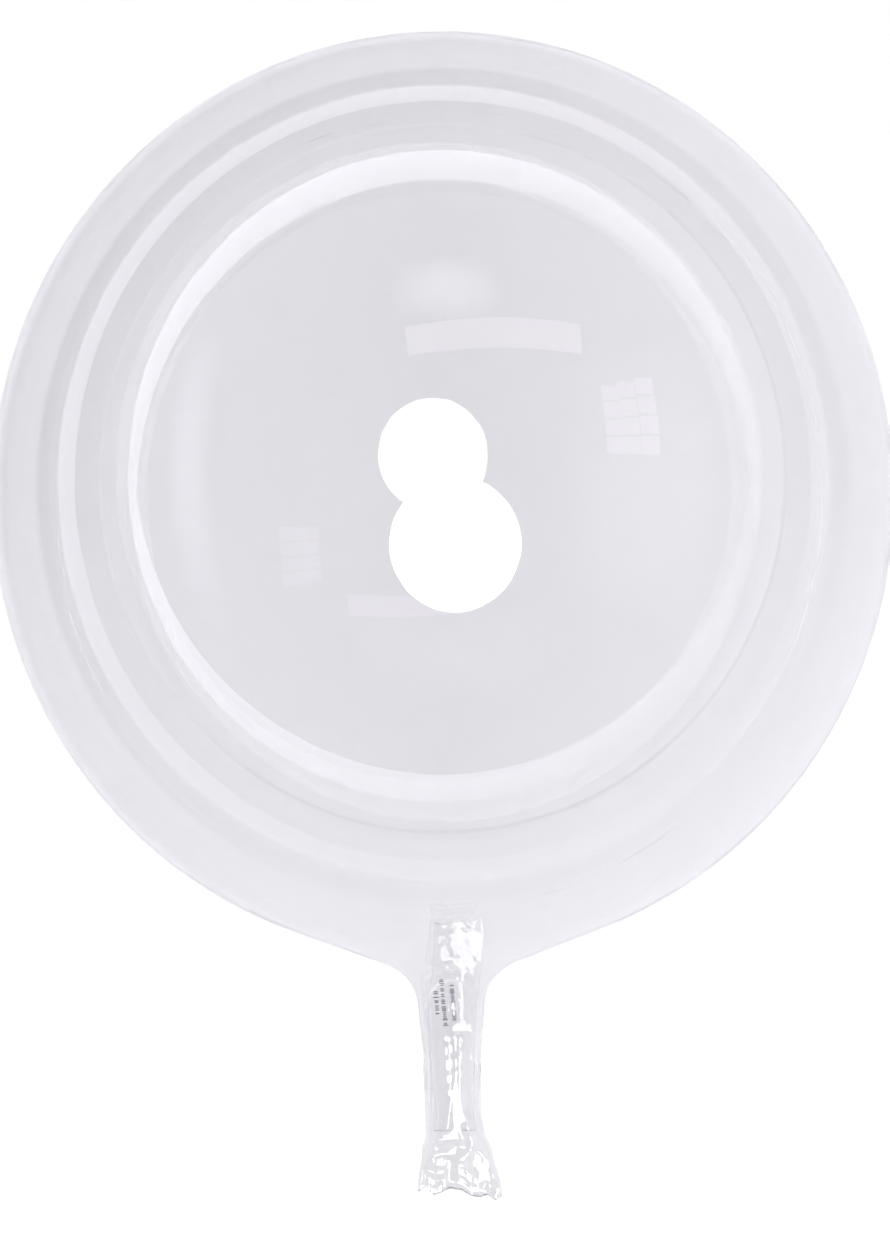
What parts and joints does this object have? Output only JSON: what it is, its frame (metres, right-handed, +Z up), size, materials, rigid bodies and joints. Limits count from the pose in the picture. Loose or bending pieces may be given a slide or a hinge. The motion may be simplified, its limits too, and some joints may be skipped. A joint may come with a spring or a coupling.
{
  "type": "clear bubble balloon",
  "caption": "Inflated clear film bubble balloon lying on its side, nearly round, with a narrow neck and a flattened, puckered tail.",
  "frame": {"origin": "centre of the small flat where the round body rests, under the middle of the body", "axes": "+Z up; +Y level along the balloon's own axis toward the crown, so the neck and tail point along -Y"},
  "size_m": [0.46, 0.5935, 0.4586],
  "materials": {
    "clear_film": "clear stretched film, glossy, faintly cool in colour",
    "valve_film": "clear two-ply valve sleeve, glossy, crimped",
    "print_ink": "dull grey ink, rows of short plain strokes"
  },
  "bodies": {
    "root": {"balloon_film": "clear_film"}
  },
  "joints": []
}
